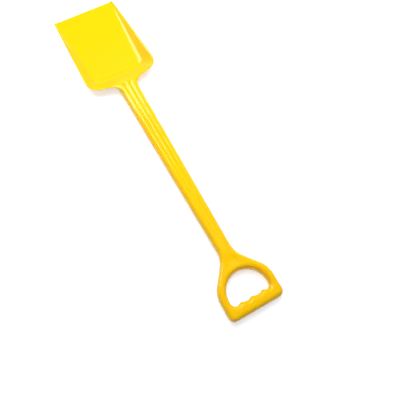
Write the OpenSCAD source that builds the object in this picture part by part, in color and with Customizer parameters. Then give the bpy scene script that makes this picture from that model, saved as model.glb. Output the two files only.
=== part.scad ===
// Child's sand shovel with a D-grip, moulded in one colour of glossy plastic.
// It lies on its back: X is across, Y runs from the grip to the blade's front edge, Z is up.
// Two mouldings make it. The front one holds the blade and the front half of the hollow
// shaft and grip. The back one closes the shaft and grip, and presses in with studs and a lip.

/* [Overall] */
// Length from the outer end of the grip to the blade's front edge
overall_l = 600; // [520:5:700]
// Thickness of the shaft and the grip, and height of the blade's rear rim
handle_t = 21; // [18:0.5:26]
// Plan width of the rounding along every edge of the shaft and the grip
edge_run = 6.4; // [5:0.1:6.6]
// Wall of the hollow shaft and grip
skin_t = 2.4; // [2:0.1:2.8]

/* [Blade] */
// Length from the foot of the shaft to the front edge
blade_l = 198; // [175:1:230]
// Greatest width, at the rear corners
blade_w = 124; // [118:1:150]
// How far each side draws in towards the straight front edge
front_in = 5; // [2:0.5:10]
// Radius of the rear corners
corner_r = 21; // [16:0.5:26]
// Radius of the hollow curve between shaft and blade
root_r = 18; // [12:0.5:20]
// Angle by which the rear edges sweep forward
rear_sweep = 15; // [8:1:22]
// Thickness of the floor
floor_t = 3; // [2.4:0.1:4]
// Thickness of the front edge
tip_t = 1.6; // [1.2:0.1:2]
// Length of the bevel behind the front edge
bevel_l = 15; // [10:0.5:20]
// Thickness of the rim
rim_t = 2.6; // [2:0.1:3.2]
// Height of the side walls at the front edge
tip_rim_h = 3.3; // [3.2:0.1:5]
// Plan width of the side walls at the rear
wall_run = 16.5; // [13:0.5:20]
// Plan width of the side walls at the front edge
tip_wall_run = 2; // [1:0.1:4]
// Plan length of the sloping rear wall
rear_run = 27; // [22:0.5:32]
// Radius of the floor's rear corners
floor_corner_r = 10; // [8:0.5:12]
// Plan width of the soft curve at the foot of the walls
floor_fillet = 7; // [5:0.1:7.5]

/* [Shaft] */
// Width of the shaft where it leaves the grip
neck_w = 23; // [22:0.5:28]
// Width of the shaft where it meets the blade
root_w = 32; // [28:0.5:38]
// Radius of the two grooves in the shaft's front
flute_r = 3.4; // [3:0.1:4]
// Depth of the grooves at the blade
flute_depth = 1.2; // [0.6:0.1:1.3]
// Depth of the grooves at the grip
flute_neck_depth = 0.3; // [0.2:0.1:0.6]
// Distance of each groove from the middle at the blade
flute_off = 4.6; // [4:0.1:5]
// Distance of each groove from the middle at the grip
flute_neck_off = 3.5; // [3:0.1:4]

/* [Grip] */
// Width of the grip
grip_w = 89; // [86:1:110]
// Width of the hand hole
hole_w = 63; // [58:0.5:64]
// Length of the hand hole
hole_l = 42; // [38:0.5:46]
// Width of the bar that the hand holds
bar_w = 18.5; // [17:0.5:22]
// Radius of the grip's two outer corners
grip_corner_r = 9.5; // [8:0.5:12]
// Length of the grip's straight sides
grip_side_l = 33; // [28:0.5:38]
// Radius where the sides turn in towards the shaft
shoulder_r = 36; // [30:1:40]
// Angle at which the sides run in to the shaft
shoulder_angle = 38; // [34:1:42]
// Radius of the hollow curve between grip and shaft
neck_r = 32; // [26:1:36]
// Radius of the hand hole's lower corners
hole_corner_r = 7.5; // [6:0.5:9]
// Height of the bumps between the fingers
bump_h = 2; // [1:0.1:2.4]
// Distance between the bumps
bump_pitch = 17.5; // [15:0.5:19]
// Half width of a bump
bump_half_w = 3.4; // [2.5:0.1:4.5]
// Depth of the dish where the shaft splits into the grip
dish_depth = 1; // [0.4:0.1:1.2]

/* [Fit] */
// Free play between the two mouldings
fit_clear = 0.15; // [0.1:0.01:0.25]
// Height of the back cover's lip above the parting line
lip_h = 3; // [2:0.1:4]
// Thickness of the lip
lip_t = 1.2; // [1:0.1:1.6]
// Diameter of the studs
stud_d = 4.6; // [4:0.1:5]
// Length of the studs above the parting line
stud_h = 6; // [4:0.1:6.5]
// Diameter of the bosses that carry studs and sockets
boss_d = 8.2; // [7.5:0.1:8.6]

/* [Hidden] */

plastic = "#fbd708";
plastic_shade = "#f2c200";
overrun = 4;

// Steps along each curve, across each rounded edge, and round balls and studs
curve_steps = 9;
arch_steps = 13;
tip_steps = 3;
edge_steps = 6;
bump_steps = 20;
ball_steps = 32;
stud_steps = 48;

// Bumps along the bar, and where the studs sit along the shaft
bump_count = 3;
stud_shares = [0.07, 0.35, 0.63, 0.91];
bar_stud_share = 0.7;
web_stud_share = 0.5;
// How deep in the skin the bosses end
boss_end_share = 0.75;
// Where the grooves start and end along the shaft
flute_shares = [1.05, 0.03];
// Corners of the dish: how far in from the neck, and out from the middle
dish_top_share = 0.42;
dish_foot_share = 0.86;
dish_half_share = 0.36;
// Curve at the wall's foot: how far up the wall it ends, and the points along it
fillet_wall_share = 0.3;
fillet_shares = [0.25, 0.5, 0.75];
// How far in the rim's rounding starts
rim_round_share = 0.17;
// How much of the shaft's rounding is left where its edge becomes the blade's rim
rim_edge_share = 0.2;

part_z = handle_t / 2;
root_s = overall_l - blade_l;
neck_half = neck_w / 2;
root_half = root_w / 2;

// Grip: where the shoulder ends, and where the straight run meets the neck's hollow curve
shoulder_c = [grip_w / 2 - shoulder_r, grip_side_l];
shoulder_end = shoulder_c + shoulder_r * [cos(shoulder_angle), sin(shoulder_angle)];
neck_start_x = neck_half + neck_r * (1 - cos(shoulder_angle));
shoulder_run = (shoulder_end.x - neck_start_x) / sin(shoulder_angle);
neck_s = shoulder_end.y + shoulder_run * cos(shoulder_angle) + neck_r * sin(shoulder_angle);
hole_top = bar_w + hole_l;
hole_arc_s = hole_top - hole_w / 2;

// Blade: the rear edge, the rear line of the floor, and the foot of the wall outside
rear_s = root_s + root_r * cos(rear_sweep);
flare_x = root_half + root_r * (1 - sin(rear_sweep));
corner_x = blade_w / 2 - corner_r;
front_half = blade_w / 2 - front_in;
floor_rear_s = rear_s + rim_t + rear_run;
foot_r = tip_t / 2;
foot_grow = rim_t / 2;
floor_half = blade_w / 2 - rim_t - wall_run;
floor_front_half = front_half - rim_t - tip_wall_run;
tip_corner_r = tip_t;
heel_top = handle_t - rim_t / 2;
heel_run = floor_rear_s - foot_grow - rear_s;
root_end_s = rear_s + rim_t + rear_run / 2;

// Fit: where the lip's top stands on the hollow's section, how far in it is, and where bosses end
lip_angle = asin(lip_h / (part_z - skin_t));
lip_in = skin_t + (edge_run - skin_t) * (1 - cos(lip_angle)) + fit_clear;
boss_end = skin_t * boss_end_share;

// Points on an arc, each with the direction that faces out of the outline
function arc(c, r, from, to, steps, turn = 0) =
    [for (i = [0:steps])
        let (a = from + (to - from) * i / steps)
        [c.x + r * cos(a), c.y + r * sin(a), a + turn]];

// The same points with a share of the edge's rounding, which shrinks towards the rim of the blade,
// and a share of the lean that follows the sloping back of the blade
function edged(points, from_share, to_share, lean_share) =
    let (last = len(points) - 1)
    [for (i = [0:last]) concat(points[i], [from_share + (to_share - from_share) * i / last, lean_share])];
function heel_lean(z) = heel_run * min(1, max(0, (heel_top - z) / (heel_top - foot_r)));

// One side of the grip, from its outer end to the shaft
function grip_side() = concat(
    arc([grip_w / 2 - grip_corner_r, grip_corner_r], grip_corner_r, -90, 0, curve_steps),
    arc(shoulder_c, shoulder_r, 0, shoulder_angle, curve_steps),
    arc([neck_half + neck_r, neck_s], neck_r, 180 + shoulder_angle, 180, curve_steps, 180)
);

// One side of the grip and shaft, then round the root to a corner and on into the blade
function handle_side(end_s) =
    let (root_turn = (90 - rear_sweep) / (curve_steps + 1))
    concat(
        edged(grip_side(), 1, 1, 0),
        edged(root_side(90 + rear_sweep + root_turn), 1, rim_edge_share, 1),
        edged(
            [[flare_x, rear_s, (rear_sweep - 90) / 2], [flare_x, end_s, 0]],
            rim_edge_share, rim_edge_share, 1
        )
    );
function root_side(to) = arc([root_half + root_r, root_s], root_r, 180, to, curve_steps, 180);

// One side of the blade's outline, or of its floor
function pan_side(rear, half, tip_half, front, r, sweep) =
    let (
        x = half - r,
        s = rear + (x + r * sin(sweep) - flare_x) * tan(sweep) + r * cos(sweep),
        lean = atan((half - tip_half) / (front - s)),
        tip = [tip_half - tip_corner_r, front - tip_corner_r]
    )
    concat(
        [[0, rear, -90], [flare_x * x / corner_x, rear, -90]],
        arc([x, s], r, sweep - 90, lean, curve_steps),
        arc(tip, tip_corner_r, lean, 90, tip_steps),
        [[0, front, 90]]
    );

function rim_side(front) = pan_side(rear_s, blade_w / 2, front_half, front, corner_r, rear_sweep);
function floor_side(front, grow) = pan_side(
    floor_rear_s - grow, floor_half + grow, floor_front_half + grow, front, floor_corner_r + grow, 0
);

// Height of the rim: level with the shaft at the rear, falling to the front edge
function rim_z(s) =
    tip_rim_h + (handle_t - tip_rim_h) * min(1, max(0, (overall_l - s) / (overall_l - floor_rear_s)));

// One side of the hand hole, from the middle of the bar up to the top of the arch
function bump(x) = let (row = (bump_count - 1) / 2)
    bump_h * max([for (i = [-row:row]) exp(-pow((x - i * bump_pitch) / bump_half_w, 2))]);
function hole_side(grow, bumps) =
    let (
        flat_x = hole_w / 2 - hole_corner_r,
        corner = arc([flat_x, bar_w + hole_corner_r], hole_corner_r + grow, -90, 0, curve_steps)
    )
    concat(
        [for (i = [0:bump_steps - 1])
            let (x = flat_x * i / bump_steps)
            [x, bar_w - grow + bumps * bump(x)]],
        [for (p = corner) [p.x, p.y]],
        [for (p = arc([0, hole_arc_s], hole_w / 2 + grow, 0, 90, arch_steps)) [p.x, p.y]]
    );

// A ring is one side and its mirror image, at one height or at a height for each point
function moved_in(side, d) = [for (p = side) [p.x - d * cos(p.z), p.y - d * sin(p.z)]];
function mirrored(side, first, last) = [for (i = [len(side) - 1 - last:-1:first]) [-side[i].x, side[i].y]];
function at_height(ring, z) = [for (p = ring) [p.x, p.y, z]];
function closed_ring(right, z) = at_height(concat(right, mirrored(right, 1, 1)), z);
function rim_ring(right, drop) =
    [for (p = concat(right, mirrored(right, 1, 1))) [p.x, p.y, rim_z(p.y) - drop]];
function between(a, b, share) = [for (i = [0:len(a) - 1]) a[i] + (b[i] - a[i]) * share];

// Side faces of a stack of rings
function wall_faces(n, rings) = [
    for (k = [0:rings - 2], i = [0:n - 1])
        let (a = k * n + i, b = k * n + (i + 1) % n)
        each [[a, a + n, b + n], [a, b + n, b]]
];

// A stack of rings round a middle, closed with a fan at each end
module round_stack(rings) {
    n = len(rings[0]);
    last = (len(rings) - 1) * n;
    middle = [0, (rings[0][0].y + rings[0][n / 2].y) / 2];
    low = len(rings) * n;
    low_z = (rings[0][0].z + rings[0][n / 2].z) / 2;
    high_z = (rings[len(rings) - 1][0].z + rings[len(rings) - 1][n / 2].z) / 2;
    polyhedron(
        points = concat(
            [for (r = rings) each r],
            [[middle.x, middle.y, low_z], [middle.x, middle.y, high_z]]
        ),
        faces = concat(
            wall_faces(n, len(rings)),
            [for (i = [0:n - 1]) [low, i, (i + 1) % n]],
            [for (i = [0:n - 1]) [low + 1, last + (i + 1) % n, last + i]]
        )
    );
}

// A stack of rings along the shovel, closed with rungs from side to side at each end
module long_stack(rings) {
    n = len(rings[0]);
    last = (len(rings) - 1) * n;
    rungs = [for (i = [0:n / 2 - 2]) each [[i, i + 1, n - 2 - i], [i, n - 2 - i, n - 1 - i]]];
    polyhedron(
        points = [for (r = rings) each r],
        faces = concat(
            wall_faces(n, len(rings)),
            rungs,
            [for (f = rungs) [last + f[0], last + f[2], last + f[1]]]
        )
    );
}

// Rounded section of the grip and shaft: how far in and how far up, at an angle from the parting line
function section_in(a, wall, run) = wall + max(0, run - wall) * (1 - cos(a));
function section_z(a, wall) = part_z + (part_z - wall) * sin(a);

// A level of the section: its angle, the wall outside it, its least distance in, and its height
function levels(from, to, wall, least = 0) = [
    for (i = [0:edge_steps])
        let (a = from + (to - from) * i / edge_steps)
        [a, wall, least, section_z(a, wall)]
];
function lip_level(least, z) = [lip_angle, skin_t, least, z];

// Ring of the grip and shaft at a level, and of the hand hole
function handle_ring(side, level) =
    let (right = [
        for (p = side)
            let (d = max(level[2], section_in(level[0], level[1], edge_run * p[3])))
            [p.x - d * cos(p.z), p.y - d * sin(p.z) + p[4] * heel_lean(level[3])]
    ])
    at_height(concat(right, mirrored(right, 0, 0)), level[3]);
function hole_ring(level) =
    let (d = max(level[2], section_in(level[0], level[1], edge_run)))
    closed_ring(hole_side(d, cos(level[0])), level[3]);

// Grip and shaft between some levels, and a block that fills the hand hole there
module handle_block(rows, end_s) {
    side = handle_side(end_s);
    long_stack([for (row = rows) handle_ring(side, row)]);
}
module hole_block(rows) {
    round_stack([for (row = rows) hole_ring(row)]);
}

// Hollow of the front half: a rounded trough, open at the parting line
module front_hollow() {
    rows = levels(0, 90, skin_t);
    difference() {
        handle_block(concat([[0, skin_t, 0, part_z - overrun]], rows), root_end_s + overrun);
        hole_block(concat([[0, skin_t, 0, part_z - 2 * overrun]], rows, [[90, skin_t, 0, handle_t]]));
    }
}

// Hollow of the back half: the same trough, with straight sides inside the lip
module back_hollow() {
    lip_in_far = lip_in + lip_t;
    rows = levels(-90, 0, skin_t, lip_in_far);
    lip_top = part_z + lip_h + overrun;
    difference() {
        handle_block(concat(rows, [lip_level(lip_in_far, lip_top)]), root_end_s + overrun);
        hole_block(concat([[-90, skin_t, 0, 0]], rows, [lip_level(lip_in_far, lip_top + overrun)]));
    }
}

// Blade as a solid block with its outer walls, up to the rim
module pan_block() {
    rim = rim_side(overall_l);
    round_stack([
        closed_ring(moved_in(floor_side(overall_l, foot_grow - foot_r), 0), 0),
        closed_ring(moved_in(floor_side(overall_l, foot_grow), 0), foot_r),
        rim_ring(moved_in(rim, 0), rim_t / 2),
        rim_ring(moved_in(rim, rim_t * rim_round_share), rim_t * rim_round_share),
        rim_ring(moved_in(rim, rim_t / 2), 0)
    ]);
}

// The scoop inside the blade: floor, soft foot, walls, and out past the rim
module pan_scoop() {
    front = overall_l + overrun;
    mouth = moved_in(rim_side(front), rim_t);
    floor_in = closed_ring(moved_in(floor_side(front, -floor_fillet), 0), floor_t);
    floor_at = closed_ring(moved_in(floor_side(front, 0), 0), floor_t);
    top = rim_ring(mouth, 0);
    wall_at = between(floor_at, top, fillet_wall_share);
    round_stack(concat(
        [floor_in],
        [for (share = fillet_shares)
            between(between(floor_in, floor_at, share), between(floor_at, wall_at, share), share)],
        [wall_at, top, rim_ring(moved_in(rim_side(front), rim_t / 2), -overrun)]
    ));
}

// Side view of a block that runs across the whole blade
module across(width, side_view) {
    rotate([90, 0, 90])
        linear_extrude(width, center = true)
            polygon(side_view);
}

// What the bevel takes off behind the front edge
module front_bevel() {
    fall = (floor_t - tip_t) / bevel_l;
    across(2 * floor_front_half, [
        [overall_l - bevel_l, floor_t],
        [overall_l + overrun, tip_t - overrun * fall],
        [overall_l + overrun, floor_t + overrun],
        [overall_l - bevel_l, floor_t + overrun]
    ]);
}

// Everything past the sloping back of the blade, which the back cover's end meets, and past the lip's end
module heel_block() {
    end_s = rear_s - fit_clear;
    across(blade_w, [
        [end_s + heel_lean(0), -overrun],
        [end_s + heel_lean(foot_r), foot_r],
        [end_s + heel_lean(part_z), part_z],
        [root_s, part_z],
        [root_s, handle_t],
        [overall_l, handle_t],
        [overall_l, -overrun]
    ]);
}

// Two grooves with round ends, which grow shallower towards the grip
module flutes() {
    root_z = handle_t + flute_r - flute_depth;
    neck_z = handle_t + flute_r - flute_neck_depth;
    root_y = neck_s + (root_s - neck_s) * flute_shares[0];
    neck_y = neck_s + (root_s - neck_s) * flute_shares[1];
    for (side = [-1, 1])
        hull() {
            translate([side * flute_off, root_y, root_z]) sphere(flute_r, $fn = ball_steps);
            translate([side * flute_neck_off, neck_y, neck_z]) sphere(flute_r, $fn = ball_steps);
        }
}

// Shallow three-cornered dish between shaft and hand hole
module dish() {
    ball_r = edge_run;
    z = handle_t + ball_r - dish_depth;
    span = neck_s - hole_top;
    hull() {
        translate([0, neck_s - span * dish_top_share, z]) sphere(ball_r, $fn = ball_steps);
        for (side = [-1, 1])
            translate([side * hole_w / 2 * dish_half_share, neck_s - span * dish_foot_share, z])
                sphere(ball_r, $fn = ball_steps);
    }
}

// Places of the studs: along the shaft, in the web above the hole, and in the bar
function stud_places() = concat(
    [for (share = stud_shares) [0, neck_s + (root_s - neck_s) * share]],
    [[0, hole_top + (neck_s - hole_top) * web_stud_share]],
    [for (side = [-1, 1]) [side * hole_w / 2 * bar_stud_share, bar_w / 2]]
);

// Front skin of the whole shovel, set to its full width and length
module front_skin() {
    resize([blade_w, overall_l, 0])
        difference() {
            union() {
                pan_block();
                difference() {
                    handle_block(levels(0, 90, 0), root_end_s);
                    front_hollow();
                    hole_block(concat(
                        [[0, 0, 0, part_z - overrun]], levels(0, 90, 0), [[90, 0, 0, handle_t + overrun]]
                    ));
                }
            }
            pan_scoop();
            front_bevel();
            flutes();
            dish();
        }
}

// Back skin of the shaft and grip with its lip, set to its full width
module back_skin() {
    lip_rows = [lip_level(lip_in, part_z), lip_level(lip_in, part_z + lip_h)];
    lip_end = lip_level(lip_in, part_z + lip_h + overrun);
    resize([grip_w, 0, 0])
        difference() {
            handle_block(concat(levels(-90, 0, 0), lip_rows), root_end_s);
            back_hollow();
            hole_block(concat([[-90, 0, 0, -overrun]], levels(-90, 0, 0), [lip_rows[0], lip_end]));
            heel_block();
        }
}

module at_studs() {
    for (place = stud_places())
        translate([place.x, place.y, 0])
            children();
}

// Blade, and front half of the shaft and grip, with sockets inside
module front_moulding() {
    color(plastic)
        translate([0, -overall_l / 2, 0])
            difference() {
                union() {
                    front_skin();
                    at_studs()
                        translate([0, 0, part_z])
                            cylinder(d = boss_d, h = part_z - boss_end, $fn = stud_steps);
                }
                at_studs()
                    translate([0, 0, part_z - overrun])
                        cylinder(
                            d = stud_d + 2 * fit_clear, h = overrun + stud_h + fit_clear, $fn = stud_steps
                        );
            }
}

// Back half of the shaft and grip, with studs that press into the sockets
module back_cover() {
    color(plastic_shade)
        translate([0, -overall_l / 2, 0])
            union() {
                back_skin();
                at_studs() {
                    translate([0, 0, boss_end])
                        cylinder(d = boss_d, h = part_z - boss_end, $fn = stud_steps);
                    translate([0, 0, skin_t])
                        cylinder(d = stud_d, h = part_z + stud_h - skin_t, $fn = stud_steps);
                }
            }
}

front_moulding();
back_cover();
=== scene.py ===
import bpy
import bmesh
import math
from mathutils import Matrix, Vector


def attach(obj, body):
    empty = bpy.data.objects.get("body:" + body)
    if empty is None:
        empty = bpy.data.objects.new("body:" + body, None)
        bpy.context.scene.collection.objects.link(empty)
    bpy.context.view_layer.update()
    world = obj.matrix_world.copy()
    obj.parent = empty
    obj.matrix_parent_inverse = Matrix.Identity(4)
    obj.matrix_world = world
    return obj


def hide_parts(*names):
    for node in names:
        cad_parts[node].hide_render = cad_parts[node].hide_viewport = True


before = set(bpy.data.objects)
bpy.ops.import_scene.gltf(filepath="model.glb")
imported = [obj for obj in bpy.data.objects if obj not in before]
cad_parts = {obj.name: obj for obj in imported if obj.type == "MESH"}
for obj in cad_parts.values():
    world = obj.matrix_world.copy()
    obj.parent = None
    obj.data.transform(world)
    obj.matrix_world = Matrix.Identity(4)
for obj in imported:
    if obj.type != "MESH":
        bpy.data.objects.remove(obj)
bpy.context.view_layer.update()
bpy.context.scene.view_settings.view_transform = "Standard"


# Front moulding: the scoop blade with the front half of the hollow shaft and D-grip.
# It is one injection moulding in yellow polypropylene, with soft edges, and it carries the sockets
# that the back cover presses into. Lengths are in millimetres, s runs from the grip's outer end.
OVERALL_L, HANDLE_T = 600, 21
SEAM_Z = HANDLE_T / 2

# Rounded edge from the seam up to the flat: how far in, and how far above the seam
EDGE = [(0.3, 0), (0, 0.5), (0.1, 3.6), (1.4, 7.4), (3.9, 9.7), (6.8, 10.5)]
FLAT_IN = EDGE[-1][0]


# A point on a round. Points with a wide step between them stand out, because smoothing draws them in
def along(centre, r, degrees, step=0):
    stretch = 3 / (2 + math.cos(math.radians(step)))
    a = math.radians(degrees)
    return Vector((centre[0] + r * stretch * math.cos(a), centre[1] + r * stretch * math.sin(a)))


def facing(degrees):
    return Vector((math.cos(math.radians(degrees)), math.sin(math.radians(degrees))))


def edge_points(point, inward, share, up=1):
    return [(*(point + inward * d * share), SEAM_Z + up * h) for d, h in EDGE]


# The grip: outline, hand hole, and the bumps between the fingers
GRIP_HALF, GRIP_CORNER_R, CORNER_STEP = 44.5, 9.5, 14
SHOULDER_R, SHOULDER_S, SHOULDER_TURN, SHOULDER_STEP = 36, 33, 38, 10
NECK_HALF, NECK_R = 11.5, 32
HOLE_HALF, HOLE_CORNER_R, BAR_W, ARCH_S = 31.5, 7.5, 18.5, 29
BUMP_H, BUMP_PITCH, BUMP_HALF_W = 2.9, 17.5, 3.4

corner_c = (GRIP_HALF - GRIP_CORNER_R, GRIP_CORNER_R)
hole_c = (HOLE_HALF - HOLE_CORNER_R, BAR_W + HOLE_CORNER_R)
shoulder_c = (GRIP_HALF - SHOULDER_R, SHOULDER_S)
shoulder_end = along(shoulder_c, SHOULDER_R, SHOULDER_TURN)
neck_x = NECK_HALF + NECK_R * (1 - math.cos(math.radians(SHOULDER_TURN)))
neck_run = (shoulder_end.x - neck_x) / math.sin(math.radians(SHOULDER_TURN))
neck_start = shoulder_end + facing(SHOULDER_TURN + 90) * neck_run
neck_s = neck_start.y + NECK_R * math.sin(math.radians(SHOULDER_TURN))
neck_c = (NECK_HALF + NECK_R, neck_s)


def bump(x):
    return BUMP_H * max(math.exp(-(((x - n * BUMP_PITCH) / BUMP_HALF_W) ** 2)) for n in (-1, 0, 1))


def on_hole_corner(turn):
    return along(hole_c, HOLE_CORNER_R, turn)


def on_arch(turn, out=0):
    return along((0, ARCH_S), HOLE_HALF + out, turn)


# Stations from the middle of the bar round to the neck, each a place on the outline and its partner
# on the hand hole: x along the bar, then turns in degrees, and shares of the straight below the neck
BAR_STATIONS = (
    (0, 0), (2.6, 2.2), (5.4, 4.5), (10.5, 8.75), (15.6, 13), (18.4, 15.3), (21, 17.5), (23.8, 19.7),
    (27, 22))
BAR_END_X = 31
CORNER_TURNS = ((-90, -66), (-66, -52), (-45, -40), (-24, -27), (0, -13))
LEG_LOW_S, LEG_HIGH_S, LEG_HOLE_TURN = 17, 25, 1
SHOULDER_TURNS = ((0, 9), (10, 16), (20, 22), (30, 28), (38, 34))
STRAIGHT_SHARES = ((0.33, 41), (0.67, 48))
NECK_TURNS = ((38, 55), (25, 62), (12, 70), (0, 78))

# Each station of the band: outer point, direction in, point on the hand hole, direction away from it
band = []
for outer_x, x in BAR_STATIONS:
    band.append((Vector((outer_x, 0)), 90, Vector((x, BAR_W + bump(x))), -90))
band.append((Vector((BAR_END_X, 0)), 90, on_hole_corner(-90), -90))
for turn, hole_turn in CORNER_TURNS:
    corner = along(corner_c, GRIP_CORNER_R, turn, CORNER_STEP)
    band.append((corner, turn + 180, on_hole_corner(hole_turn), hole_turn))
band.append((Vector((GRIP_HALF, LEG_LOW_S)), 180, on_hole_corner(0), 0))
band.append((Vector((GRIP_HALF, LEG_HIGH_S)), 180, on_arch(LEG_HOLE_TURN), LEG_HOLE_TURN))
for turn, hole_turn in SHOULDER_TURNS:
    shoulder = along(shoulder_c, SHOULDER_R, turn, SHOULDER_STEP)
    band.append((shoulder, turn + 180, on_arch(hole_turn), hole_turn))
for share, hole_turn in STRAIGHT_SHARES:
    straight = shoulder_end.lerp(neck_start, share)
    band.append((straight, SHOULDER_TURN + 180, on_arch(hole_turn), hole_turn))
for turn, hole_turn in NECK_TURNS:
    band.append((along(neck_c, NECK_R, turn + 180), turn + 180, on_arch(hole_turn), hole_turn))

# The shallow dish in the web above the hand hole, which widens towards the hole
DISH_DEPTH, DISH_S, DISH_L = 1.3, 75, 9
DISH_HALF, DISH_WIDENING, DISH_END_S = 3, 0.4, 92


def dish(x, s):
    half = DISH_HALF + DISH_WIDENING * max(0, DISH_END_S - s)
    return DISH_DEPTH * math.exp(-(((s - DISH_S) / DISH_L) ** 2) - (x / half) ** 4)


# How much of the band's width an edge may take, and the places of the points on its flat
EDGE_SHARE, FLAT_SHARES = 0.43, (0.27, 0.5, 0.73)


def band_rows(up):
    rows = []
    for outer, turn, hole, hole_turn in band:
        share = min(1, EDGE_SHARE * (outer - hole).length / FLAT_IN)
        outside = edge_points(outer, facing(turn), share, up)
        inside = edge_points(hole, facing(hole_turn), share, up)[::-1]
        a, b = Vector(outside[-1]), Vector(inside[0])
        flat = [a.lerp(b, k) for k in FLAT_SHARES]
        if up > 0:
            flat = [(p.x, p.y, p.z - dish(p.x, p.y)) for p in flat]
        rows.append(outside + [tuple(p) for p in flat] + inside)
    return rows


# The shaft's section from its middle to the seam: a crest, a groove, a second crest, and the edge
ROOT_HALF, ROOT_S = 16, 402
FLUTE_SHARES, FLUTE_DROPS = (0, 0.2, 0.41, 0.48, 0.55, 0.76, 0.9), (0, 0.05, 1.2, 1.9, 1.2, 0.05, 0)


def shaft_row(s, up, groove):
    half = NECK_HALF + (ROOT_HALF - NECK_HALF) * (s - neck_s) / (ROOT_S - neck_s)
    edge = edge_points(Vector((half, s)), Vector((-1, 0)), 1, up)[::-1]
    crest = edge[0][0]
    top = SEAM_Z + up * SEAM_Z
    flat = [(share * crest, s, top - up * drop * groove) for share, drop in zip(FLUTE_SHARES, FLUTE_DROPS)]
    return flat + edge


# The web between hand hole and shaft, from the neck down to the hole, with its shallow dish
WEB_TURNS = (90, 88.5, 87, 85.2, 83.4, 81.6, 79.8)


def web_rows(up):
    first = shaft_row(neck_s, up, 0)[:len(WEB_TURNS) + 1]
    side = band_rows(up)[-1][len(EDGE) - 1:]
    flat_end = len(FLAT_SHARES) + 1
    rows = [first]
    for k in range(1, len(side)):
        on_flat = k <= flat_end
        share = (side[0][1] - side[k][1]) / (side[0][1] - side[flat_end][1]) if on_flat else 1
        out = FLAT_IN if on_flat else EDGE[len(side) - 1 - k][0]
        row = []
        for start, turn in zip(first, WEB_TURNS):
            point = Vector(start[:2]).lerp(on_arch(turn, out), share)
            sunk = dish(point.x, point.y) if up > 0 and k < flat_end else 0
            row.append((point.x, point.y, side[k][2] - sunk))
        rows.append(row + [side[k]])
    return rows


# Where the shaft opens into the blade: outline at the rim, and how far lower levels lean forward
ROOT_R, REAR_SWEEP, RIM_T, FLOOR_S, HEEL_LOW = 18, 15, 2.6, 449, 0.8
sweep = math.radians(REAR_SWEEP)
root_c = (ROOT_HALF + ROOT_R, ROOT_S)
rear_s = ROOT_S + ROOT_R * math.cos(sweep)
flare_x = ROOT_HALF + ROOT_R * (1 - math.sin(sweep))
heel_top, heel_run = HANDLE_T - RIM_T / 2, FLOOR_S - RIM_T / 2 - rear_s


def lean(z):
    return heel_run * min(1, max(0, (heel_top - z) / (heel_top - HEEL_LOW)))


def root_point(turn, inset, z):
    p = along(root_c, ROOT_R + inset, 180 - turn)
    return (p.x, p.y + lean(z), z)


# Blade: rim and floor edge as one run from the middle of the rear (0) to the start of the corner (1),
# its end (2) and the front edge (3)
BLADE_HALF, FRONT_HALF, CORNER_R, TIP_RIM_H, TIP_T, BEVEL_L = 62, 57, 21, 3.3, 1.6, 15
FLOOR_T, FLOOR_HALF, FLOOR_FRONT_HALF, FLOOR_CORNER_R = 3, 42.9, 52.4, 10
corner_x = BLADE_HALF - CORNER_R
sweep_run = corner_x + CORNER_R * math.sin(sweep) - flare_x
corner_s = rear_s + sweep_run * math.tan(sweep) + CORNER_R * math.cos(sweep)
side_lean = math.degrees(math.atan((BLADE_HALF - FRONT_HALF) / (OVERALL_L - corner_s)))
corner_start = along((corner_x, corner_s), CORNER_R, REAR_SWEEP - 90)


def rim_at(u, inset):
    if u <= 1:
        x = corner_start.x * u
        s = rear_s + max(0, x - flare_x) * math.tan(sweep)
        turn = REAR_SWEEP - 90 if x > flare_x else -90
        return Vector((x, s)) - facing(turn) * inset
    if u <= 2:
        turn = REAR_SWEEP - 90 + (side_lean + 90 - REAR_SWEEP) * (u - 1)
        return along((corner_x, corner_s), CORNER_R - inset, turn)
    side = along((corner_x, corner_s), CORNER_R - inset, side_lean)
    return side.lerp(Vector((FRONT_HALF - inset, OVERALL_L)), u - 2)


def floor_at(u, grow):
    c = (FLOOR_HALF - FLOOR_CORNER_R, FLOOR_S + FLOOR_CORNER_R)
    if u <= 1:
        return Vector((c[0] * u, FLOOR_S - grow))
    if u <= 2:
        return along(c, FLOOR_CORNER_R + grow, -90 + 90 * (u - 1))
    return Vector((FLOOR_HALF + grow, c[1])).lerp(Vector((FLOOR_FRONT_HALF + grow, OVERALL_L)), u - 2)


def rim_z(s):
    return TIP_RIM_H + (HANDLE_T - TIP_RIM_H) * min(1, (OVERALL_L - s) / (OVERALL_L - FLOOR_S))


def floor_z(s):
    return FLOOR_T - (FLOOR_T - TIP_T) * max(0, (s - OVERALL_L + BEVEL_L) / BEVEL_L)


# The wall from its foot (v 0) to the rim (v 1). The inner wall stops short of the rounded rim
INNER_TOP_IN, INNER_TOP_DROP = RIM_T + 1.1, 1.2
OUTER_LOW, OUTER_TOP_DROP = 0.9, 1.3


def wall_at(u, v, inset=INNER_TOP_IN, grow=0, low=FLOOR_T, drop=INNER_TOP_DROP):
    top, foot = rim_at(u, inset), floor_at(u, grow)
    flat = foot.lerp(top, v)
    return (flat.x, flat.y, low + (rim_z(top.y) - drop - low) * v)


# Rim (inset and rise) and outer wall, then the underside back to the middle
RIM_EDGE = ((2.9, 0.05), (0.5, 0.05), (-0.1, -1.3))
OUTER_SHARES, UNDER_SHARES = (0.86, 0.2, 0), (0.985, 0.68, 0.34, 0)


def outer_points(u, under_s):
    rim = [(*rim_at(u, inset), rim_z(rim_at(u, inset).y) + rise) for inset, rise in RIM_EDGE]
    wall = [wall_at(u, v, 0, RIM_T / 2, OUTER_LOW, OUTER_TOP_DROP) for v in OUTER_SHARES]
    foot = floor_at(u, 0)
    under = [(foot.x * k, under_s + (foot.y - under_s) * k, 0) for k in UNDER_SHARES]
    return rim + wall + under


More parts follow.
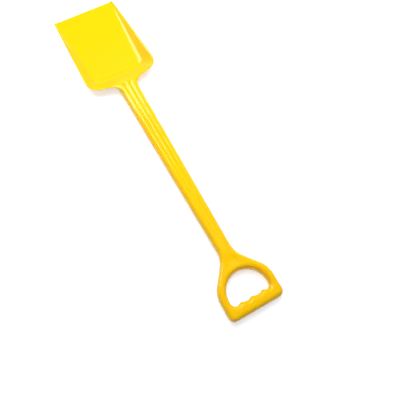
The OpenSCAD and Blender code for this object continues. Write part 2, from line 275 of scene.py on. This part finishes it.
# Along the shaft: place, and how deep the grooves are there
SHAFT_END_S = 397
SHAFT_STATIONS = (
    (neck_s, 0), (103, 0.03), (109, 0.1), (118, 0.16), (135, 0.22), (175, 0.34), (225, 0.52),
    (275, 0.7), (325, 0.88), (365, 1), (388, 1.05), (SHAFT_END_S, 1.05))
front_rows = [shaft_row(s, 1, groove) for s, groove in SHAFT_STATIONS]

# Through the root: fillet turn, place of the middle, inset of the crest, groove, height of the side,
# and the seam's own turn. The flutes keep their width at first and then spread with the fillet
ROOT_STATIONS = (
    (0, 403, 6.7, 1.15, 14.1, -30), (20, 410, 6.0, 1.15, 14.8, -12), (40, 415.2, 5.0, 1.05, 16.0, 14),
    (58, 418.7, 4.0, 0.1, 17.2, 44), (75, 421.2, 3.2, 0, 18.2, 75))
ROOT_END_TURN = ROOT_STATIONS[-1][0]
SPREAD_TURN, SPREAD_SHARES = 30, (0, 0.16, 0.36, 0.46, 0.56, 0.74, 0.87)
FLUTES_HALF, CREST_HALF, SEAM_STEP = 9.4, 9.5, 0.3
# The root's edge: inset at the blade, what the shaft's edge adds to it, and the drop on the shaft
ROOT_EDGE = ((1.9, 2.0, 0.8), (0.5, 0.9, 3.1))


def root_seam_point(turn, inset, z):
    if turn < 0:
        return (ROOT_HALF - inset, ROOT_S + lean(z) + turn * SEAM_STEP, z)
    return root_point(turn, inset, z)


root_seam = []
for turn, mid_s, crest_in, groove, side_z, seam_turn in ROOT_STATIONS:
    shaft_share = (crest_in - RIM_T) / (FLAT_IN - RIM_T)
    crest = root_point(turn, crest_in, HANDLE_T)
    spread = max(0, turn - SPREAD_TURN) / (ROOT_END_TURN - SPREAD_TURN)
    row = []
    for share, wide, drop in zip(FLUTE_SHARES, SPREAD_SHARES, FLUTE_DROPS):
        x = FLUTES_HALF * share * (1 - spread) * min(1, crest[0] / CREST_HALF) + crest[0] * wide * spread
        row.append((x, mid_s + (crest[1] - mid_s) * (x / crest[0]) ** 2, HANDLE_T - drop * groove))
    row.append(crest)
    for inset, more, drop in ROOT_EDGE:
        row.append(root_point(turn, inset + more * shaft_share, HANDLE_T - drop * shaft_share))
    row.append(root_point(turn, 0, side_z))
    for inset, rise in (EDGE[1], EDGE[0]):
        row.append(root_seam_point(seam_turn, inset, SEAM_Z + rise))
    root_seam.append((seam_turn, row[-1]))
    front_rows.append(row)

# Blade rows round the rear: place on the rim, place of the foot line, height of the middle on the
# rear wall, and place of the middle underneath
REAR_STATIONS = (
    (0.82, 0.50, 0.91, 449.5), (1, 0.75, 0.67, 451), (1.27, 0.95, 0.41, 452.5), (1.53, 1.2, 0.3, 454),
    (1.78, 1.5, 0, 455.5))
# Blade rows along the sides: place on the rim, place of the foot line, and place of the middle on the
# floor, which is level with the foot line nearer the front
SIDE_STATIONS = [(2, 1.95, 457), (2.07, 2.04, 466), (2.18, 2.17, 478)]
SIDE_STATIONS += [(u, u, None) for u in (2.36, 2.56, 2.75, 2.87, 2.893, 2.915, 2.988, 3)]
REAR_SHARES, FLOOR_SHARES = (0, 0.24, 0.48, 0.77, 1), (0, 0.35, 0.7)
FLOOR_BORDER, FLOOR_BORDER_TAPER = 11, 5
# Up the inner wall: share of the way from foot to rim, and share of the height
WALL_STEPS = ((0.4, 0.42), (0.85, 0.88), (1, 1))
HEEL_SHARES, HEEL_STEP = (0.9, 0.62, 0.31, 0), 0.4

heel = root_point(ROOT_END_TURN, 0, OUTER_LOW)
blade_rows = [front_rows[-1] + [heel] + [(heel[0] * k, heel[1] + HEEL_STEP, 0) for k in HEEL_SHARES]]
for u, foot_u, v, under_s in REAR_STATIONS:
    inner = [wall_at(foot_u * k, v) for k in REAR_SHARES]
    for k, rise in WALL_STEPS:
        inner.append(wall_at(foot_u + (u - foot_u) * k, v + (1 - v) * rise))
    blade_rows.append(inner + outer_points(u, under_s))
for u, foot_u, mid_s in SIDE_STATIONS:
    foot = floor_at(foot_u, 0)
    mid_s = mid_s or foot.y
    inside = floor_at(foot_u, FLOOR_BORDER_TAPER * max(0, foot_u - 2) - FLOOR_BORDER)
    inner = [(inside.x * k, mid_s + (inside.y - mid_s) * k, floor_z(mid_s)) for k in FLOOR_SHARES]
    inner += [(*inside, floor_z(inside.y)), (*foot, floor_z(foot.y))]
    for k, rise in WALL_STEPS:
        inner.append(wall_at(foot_u + (u - foot_u) * k, rise, low=floor_z(foot.y)))
    blade_rows.append(inner + outer_points(u, mid_s))

# The front edge is closed between the upper and the lower half of the last row
tip = blade_rows[-1]
tip_rows = [tip[:len(tip) // 2], tip[:len(tip) // 2 - 1:-1]]

MM = 0.001
WELD, FINE_WELD, SMOOTH_ANGLE = 0.02 * MM, 0.001 * MM, 40


# A grid whose corners are moved one by one to the rows' points
def lay_net(rows):
    bpy.ops.object.select_all(action="DESELECT")
    bpy.ops.mesh.primitive_grid_add(x_subdivisions=len(rows[0]) - 1, y_subdivisions=len(rows) - 1, size=1)
    net = bpy.context.object
    order = sorted(net.data.vertices, key=lambda v: (round(v.co.y, 5), round(v.co.x, 5)))
    order = [v.index for v in order]
    bpy.ops.object.mode_set(mode="EDIT")
    mesh = bmesh.from_edit_mesh(net.data)
    mesh.verts.ensure_lookup_table()
    for index, (x, s, z) in zip(order, [point for row in rows for point in row]):
        bpy.ops.mesh.select_all(action="DESELECT")
        corner = mesh.verts[index]
        corner.select_set(True)
        move = Vector((x, s - OVERALL_L / 2, z)) * MM - corner.co
        bpy.ops.transform.translate(value=move)
    bpy.ops.object.mode_set(mode="OBJECT")
    return net


# The nets are welded, mirrored and smoothed, and the open side at the seam is closed by a flat
def moulding(name, nets):
    bpy.ops.object.select_all(action="DESELECT")
    for net in nets:
        net.select_set(True)
    bpy.context.view_layer.objects.active = nets[0]
    bpy.ops.object.join()
    piece = bpy.context.object
    piece.name = name
    bpy.ops.object.mode_set(mode="EDIT")
    bpy.ops.mesh.select_all(action="SELECT")
    bpy.ops.mesh.remove_doubles(threshold=WELD)
    bpy.ops.mesh.normals_make_consistent(inside=False)
    bpy.ops.object.mode_set(mode="OBJECT")
    mirror = piece.modifiers.new("other half", "MIRROR")
    mirror.use_clip = True
    mirror.merge_threshold = WELD
    rounded = piece.modifiers.new("moulded surface", "SUBSURF")
    rounded.levels = rounded.render_levels = 2
    for modifier in ("other half", "moulded surface"):
        bpy.ops.object.modifier_apply(modifier=modifier)
    bpy.ops.object.mode_set(mode="EDIT")
    bpy.ops.mesh.select_all(action="DESELECT")
    bpy.ops.mesh.select_non_manifold()
    bpy.ops.mesh.fill(use_beauty=False)
    bpy.ops.mesh.select_all(action="SELECT")
    bpy.ops.mesh.remove_doubles(threshold=FINE_WELD)
    bpy.ops.mesh.normals_make_consistent(inside=False)
    bpy.ops.object.mode_set(mode="OBJECT")
    bpy.ops.object.shade_smooth_by_angle(angle=math.radians(SMOOTH_ANGLE))
    return piece


class Socket:
    def __init__(self, tree, link):
        self.tree, self.link = tree, link

    def node(self, kind, settings=None, out=0, **inputs):
        made = self.tree.nodes.new(kind)
        for key, value in (settings or {}).items():
            setattr(made, key, value)
        for key, value in inputs.items():
            slot = made.inputs[int(key[1:])] if key[0] == "_" else made.inputs[key.replace("_", " ")]
            if isinstance(value, Socket):
                self.tree.links.new(value.link, slot)
            else:
                slot.default_value = value
        return Socket(self.tree, made.outputs[out] if made.outputs else None)

    def maths(self, operation, other):
        return self.node("ShaderNodeMath", {"operation": operation}, _0=self, _1=other)

    def __add__(self, other):
        return self.maths("ADD", other)

    def __mul__(self, other):
        return self.maths("MULTIPLY", other)

    __radd__ = __add__
    __rmul__ = __mul__


def linear(r, g, b):
    shares = (r / 255, g / 255, b / 255)
    return tuple(c / 12.92 if c <= 0.04 else ((c + 0.055) / 1.055) ** 2.4 for c in shares) + (1,)


def new_material(name):
    material = bpy.data.materials.new(name)
    material.use_nodes = True
    material.node_tree.nodes.clear()
    tree = material.node_tree
    return material, Socket(tree, tree.nodes.new("ShaderNodeTexCoord").outputs["Object"])


# Glossy yellow plastic: a slow drift of colour, faint scuffs in the gloss and a fine moulded grain
DEEP_YELLOW, PALE_YELLOW = linear(255, 197, 0), linear(255, 204, 0)
CLEAN_ROUGHNESS, SCUFF_ROUGHNESS = 0.085, 0.04
GRAIN_SHARE, SCUFF_SHARE, DENT_DEPTH = 0.4, 0.6, 0.0004

plastic, place = new_material("yellow_plastic")
cloud = place.node("ShaderNodeTexNoise", Vector=place, Scale=9.0, Detail=2.0)
scuff = place.node("ShaderNodeTexNoise", Vector=place, Scale=140.0, Detail=4.0, Roughness=0.7)
grain = place.node("ShaderNodeTexNoise", Vector=place, Scale=1400.0, Detail=2.0)
colour = place.node("ShaderNodeMix", {"data_type": "RGBA"}, out=2, _0=cloud, _6=DEEP_YELLOW, _7=PALE_YELLOW)
dent = place.node("ShaderNodeBump", Height=grain * GRAIN_SHARE + scuff * SCUFF_SHARE, Strength=0.012,
                  Distance=DENT_DEPTH)
surface = place.node("ShaderNodeBsdfPrincipled", Base_Color=colour, Normal=dent, IOR=1.32,
                     Roughness=scuff * SCUFF_ROUGHNESS + CLEAN_ROUGHNESS)
surface.node("ShaderNodeOutputMaterial", Surface=surface)

front = moulding("front_moulding_visual", [lay_net(rows) for rows in (
    band_rows(1), web_rows(1), front_rows, blade_rows, tip_rows)])
front.data.materials.clear()
front.data.materials.append(plastic)
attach(front, "root")
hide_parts("front_moulding")


# Back cover: the plain rear half of the hollow shaft and grip, one thin moulding in the same
# polypropylene. Its lip and studs press into the front, and a fine seam runs round at half depth.
BACK_STATIONS = (neck_s, 109, 135, 175, 225, 275, 325, 365, 388, SHAFT_END_S)
# How much of the rounded edge is left at each row of the root
BACK_EDGE_SHARES = (1, 1, 0.7, 0.35, 0)

back_rows = [shaft_row(s, -1, 0) for s in BACK_STATIONS]
for (turn, seam), k in zip(root_seam, BACK_EDGE_SHARES):
    edge = [seam] + [root_seam_point(turn, inset * k, SEAM_Z - rise) for inset, rise in EDGE[1:]]
    flat = [(edge[-1][0] * share, edge[-1][1], 0) for share in FLUTE_SHARES]
    back_rows.append(flat + edge[::-1])
back = moulding("back_cover_visual", [lay_net(rows) for rows in (band_rows(-1), web_rows(-1), back_rows)])
back.data.materials.clear()
back.data.materials.append(plastic)
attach(back, "root")
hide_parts("back_cover")


# Studio: a round white sheet under the shovel, turned up far away so that no horizon shows, and lamps.
# The broad key lights the plastic from above. Two panels are there only for their reflections.
SHEET_R, SHEET_TURN, SHEET_RISE, SHEET_GAP = 30, 12, 6, 0.0002
bpy.ops.object.select_all(action="DESELECT")
bpy.ops.mesh.primitive_circle_add(vertices=96, radius=SHEET_R, fill_type="NGON", location=(0, 0, -SHEET_GAP))
floor = bpy.context.object
floor.name = "studio_floor"
bpy.ops.object.mode_set(mode="EDIT")
bpy.ops.mesh.inset(thickness=SHEET_TURN)
bpy.ops.mesh.select_all(action="DESELECT")
for corner in bmesh.from_edit_mesh(floor.data).verts:
    corner.select_set(corner.co.length > SHEET_R - SHEET_TURN / 2)
bpy.ops.transform.translate(value=(0, 0, SHEET_RISE))
bpy.ops.object.mode_set(mode="OBJECT")


def background_seen(socket):
    camera, glossy, clear = (socket.node("ShaderNodeLightPath", out=k) for k in
                             ("Is Camera Ray", "Is Glossy Ray", "Is Transmission Ray"))
    return camera.maths("MAXIMUM", glossy).maths("MAXIMUM", clear)


# Seen directly or mirrored the sheet glows to white but keeps the shadow. Otherwise it is dull white
WHITE, COOL_PAPER, DULL_PAPER = (1, 1, 1, 1), (0.67, 0.745, 0.85, 1), (0.9, 0.9, 0.9, 1)
sheet, spot = new_material("white_sheet")
paper = spot.node("ShaderNodeBsdfDiffuse", Color=COOL_PAPER)
glow = spot.node("ShaderNodeEmission", Color=WHITE, Strength=0.57)
bright = spot.node("ShaderNodeAddShader", _0=paper, _1=glow)
dull = spot.node("ShaderNodeBsdfDiffuse", Color=DULL_PAPER)
table = spot.node("ShaderNodeMixShader", _0=background_seen(spot), _1=dull, _2=bright)
table.node("ShaderNodeOutputMaterial", Surface=table)
floor.data.materials.append(sheet)


def soft_light(name, where, aim, size, watts):
    bpy.ops.object.light_add(type="AREA", location=where)
    lamp = bpy.context.object
    lamp.name = name
    lamp.data.shape = "RECTANGLE"
    lamp.data.size, lamp.data.size_y = size
    lamp.data.energy = watts
    behind = (Vector(where) - Vector(aim)).normalized()
    across = Vector((0, 1, 0)).cross(behind).normalized()
    lamp.rotation_euler = Matrix((across, behind.cross(across), behind)).transposed().to_euler()
    return lamp


window = soft_light("window", where=(-0.64, 1.0, 0.83), aim=(0, 0.2, 0), size=(1.0, 0.62), watts=18.6)
window.visible_diffuse = False
overhead = soft_light("overhead", where=(-0.04, 0.66, 1.2), aim=(0, 0, 0), size=(0.5, 0.42), watts=6.4)
overhead.visible_diffuse = False
key = soft_light("key", where=(0.13, 0.34, 0.87), aim=(0.05, 0.25, 0), size=(1.0, 1.0), watts=13.4)
key.visible_glossy = False
world = bpy.data.worlds.new("studio_light")
bpy.context.scene.world = world
world.use_nodes = True
sky = world.node_tree.nodes["Background"]
sky.inputs["Color"].default_value = WHITE
sky.inputs["Strength"].default_value = 0.22


# Camera: the photograph's view from over the grip, fitted to the shovel's outline. Its place is in
# metres, and its axes are the picture's right, its down and the line of sight.
CAMERA_AT, CAMERA_LENS, CAMERA_SENSOR, NEAREST = (-0.12587, -0.30792, 0.64932), 40.05, 36, 0.01
RIGHT, DOWN = (0.87154, -0.48903, 0.03558), (-0.4497, -0.82613, -0.33952)
AHEAD = (0.19543, 0.27991, -0.93993)
bpy.ops.object.camera_add()
camera = bpy.context.object
camera.data.sensor_width, camera.data.lens = CAMERA_SENSOR, CAMERA_LENS
axes = Matrix((RIGHT, [-c for c in DOWN], [-c for c in AHEAD])).transposed().to_4x4()
camera.matrix_world = Matrix.Translation(CAMERA_AT) @ axes
camera.data.clip_start = NEAREST
bpy.context.scene.camera = camera
